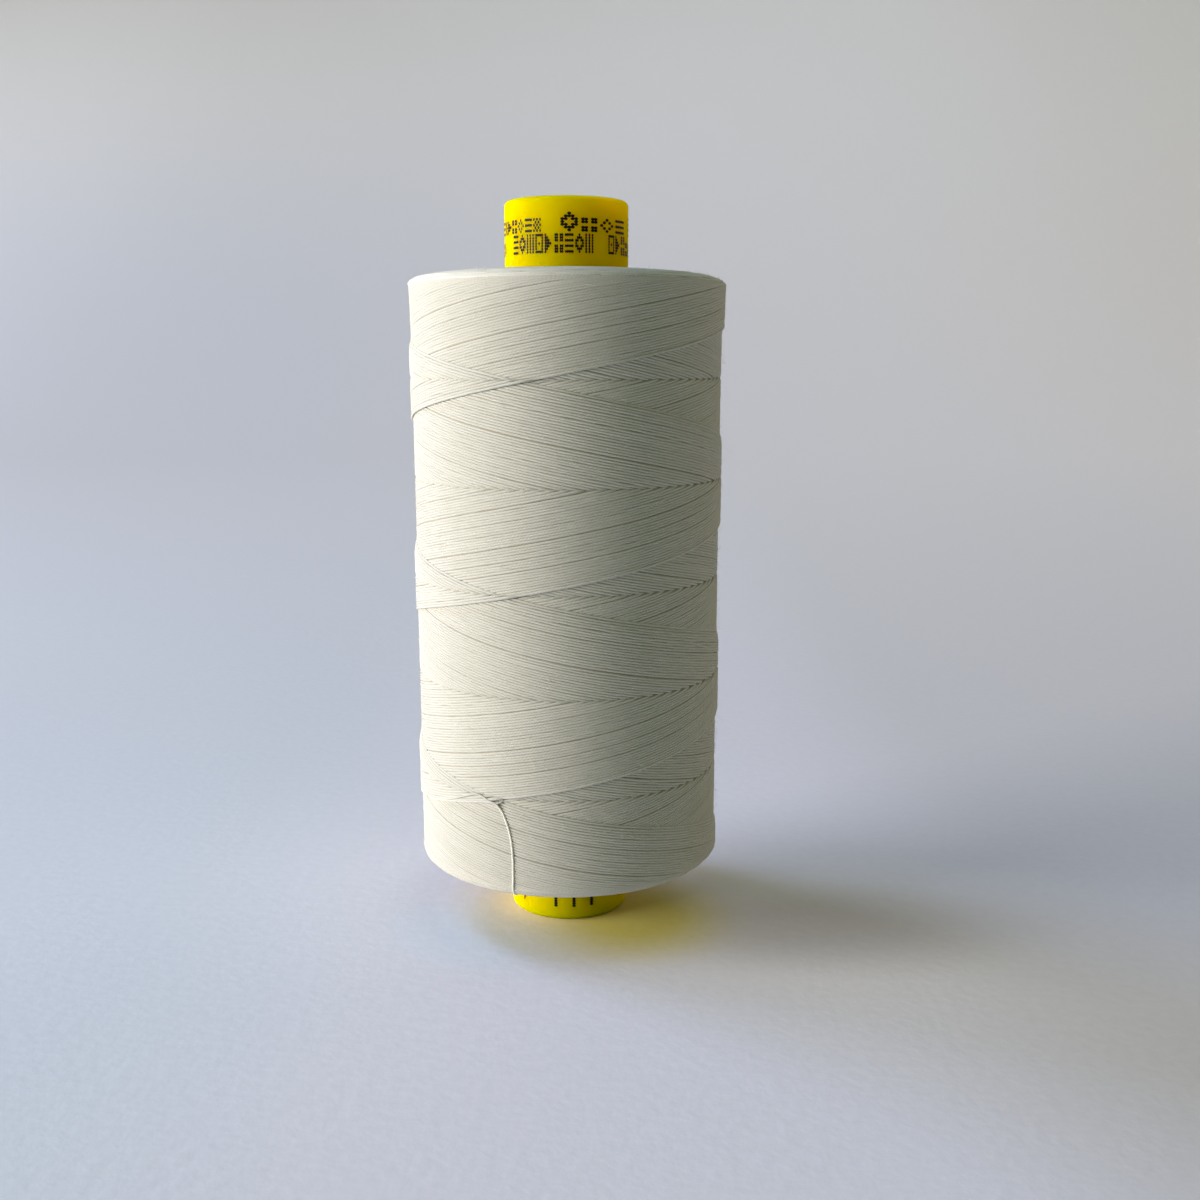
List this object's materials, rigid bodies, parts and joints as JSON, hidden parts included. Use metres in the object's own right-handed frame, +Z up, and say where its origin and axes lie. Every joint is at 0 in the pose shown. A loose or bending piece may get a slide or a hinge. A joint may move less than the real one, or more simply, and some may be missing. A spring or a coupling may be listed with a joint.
{
  "type": "spool of sewing thread",
  "caption": "Cream sewing thread cross-wound on a yellow plastic tube with an open bore, with one loose thread end tucked under the foot.",
  "frame": {"origin": "centre of the tube's foot, on the surface that the spool stands on", "axes": "+Z up along the tube's axis; -Y is the side with the loose end; +X to the right as seen from there"},
  "size_m": [0.038, 0.0379, 0.088],
  "materials": {
    "tube": "smooth moulded yellow plastic, slightly see-through at the rims",
    "wound_thread": "spun polyester thread in cream, faintly fuzzy, laid in crossing turns",
    "loose_end": "the same spun polyester thread, one strand"
  },
  "bodies": {
    "root": {"tube": "tube", "wound_thread": "wound_thread", "loose_end": "loose_end"}
  },
  "joints": []
}
